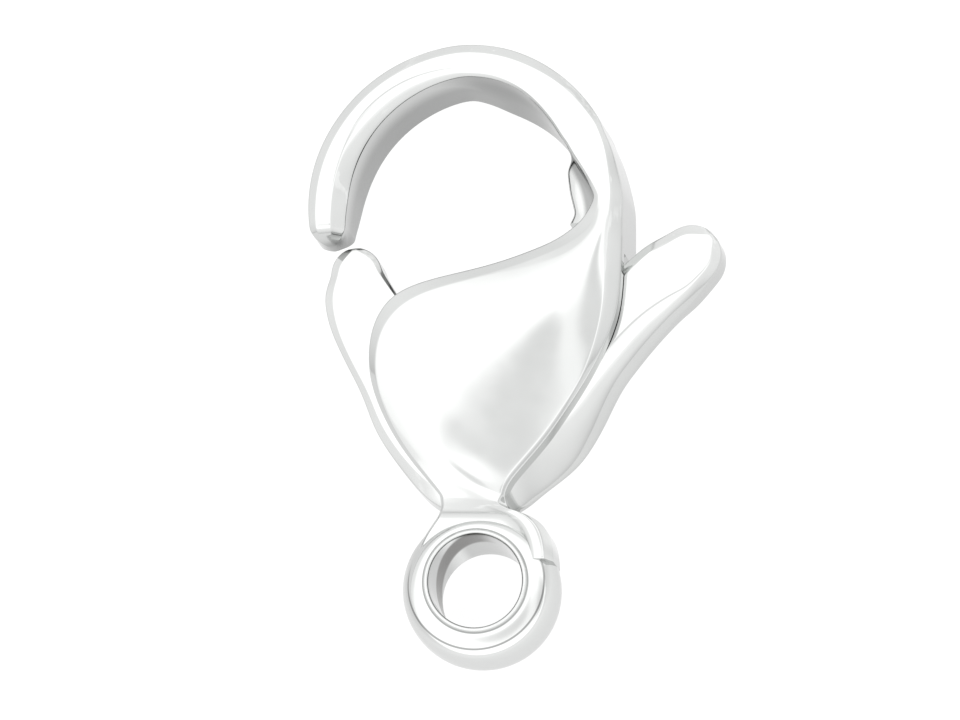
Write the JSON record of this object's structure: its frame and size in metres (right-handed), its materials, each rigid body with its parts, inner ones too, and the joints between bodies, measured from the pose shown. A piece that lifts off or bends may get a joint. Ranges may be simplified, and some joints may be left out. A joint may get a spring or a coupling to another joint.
{
  "type": "lobster clasp",
  "caption": "Polished steel lobster clasp: a curved hook on a two-plate housing with an eye, closed by a sprung trigger whose gate meets the hook's tip.",
  "frame": {"origin": "middle of the eye's bore", "axes": "+Y from the eye towards the hook, +Z out of the crowned front plate, along the eye's bore and the trigger's pin, +X towards the thumb lever"},
  "size_m": [0.008, 0.012, 0.0026],
  "materials": {
    "polished_steel": "mirror polished",
    "trigger_steel": "mirror polished",
    "pin_steel": "ground"
  },
  "bodies": {
    "casting": {"body": "polished_steel", "pivot_pin": "pin_steel"},
    "trigger": {"trigger": "trigger_steel"}
  },
  "joints": [
    {"name": "trigger_pivot", "type": "hinge", "parent": "casting", "child": "trigger", "pos_m": [0, 0.003, 0], "axis": [0, 0, 1], "range_deg": [-28, 0], "stiffness_Nm_per_rad": 0.002}
  ]
}
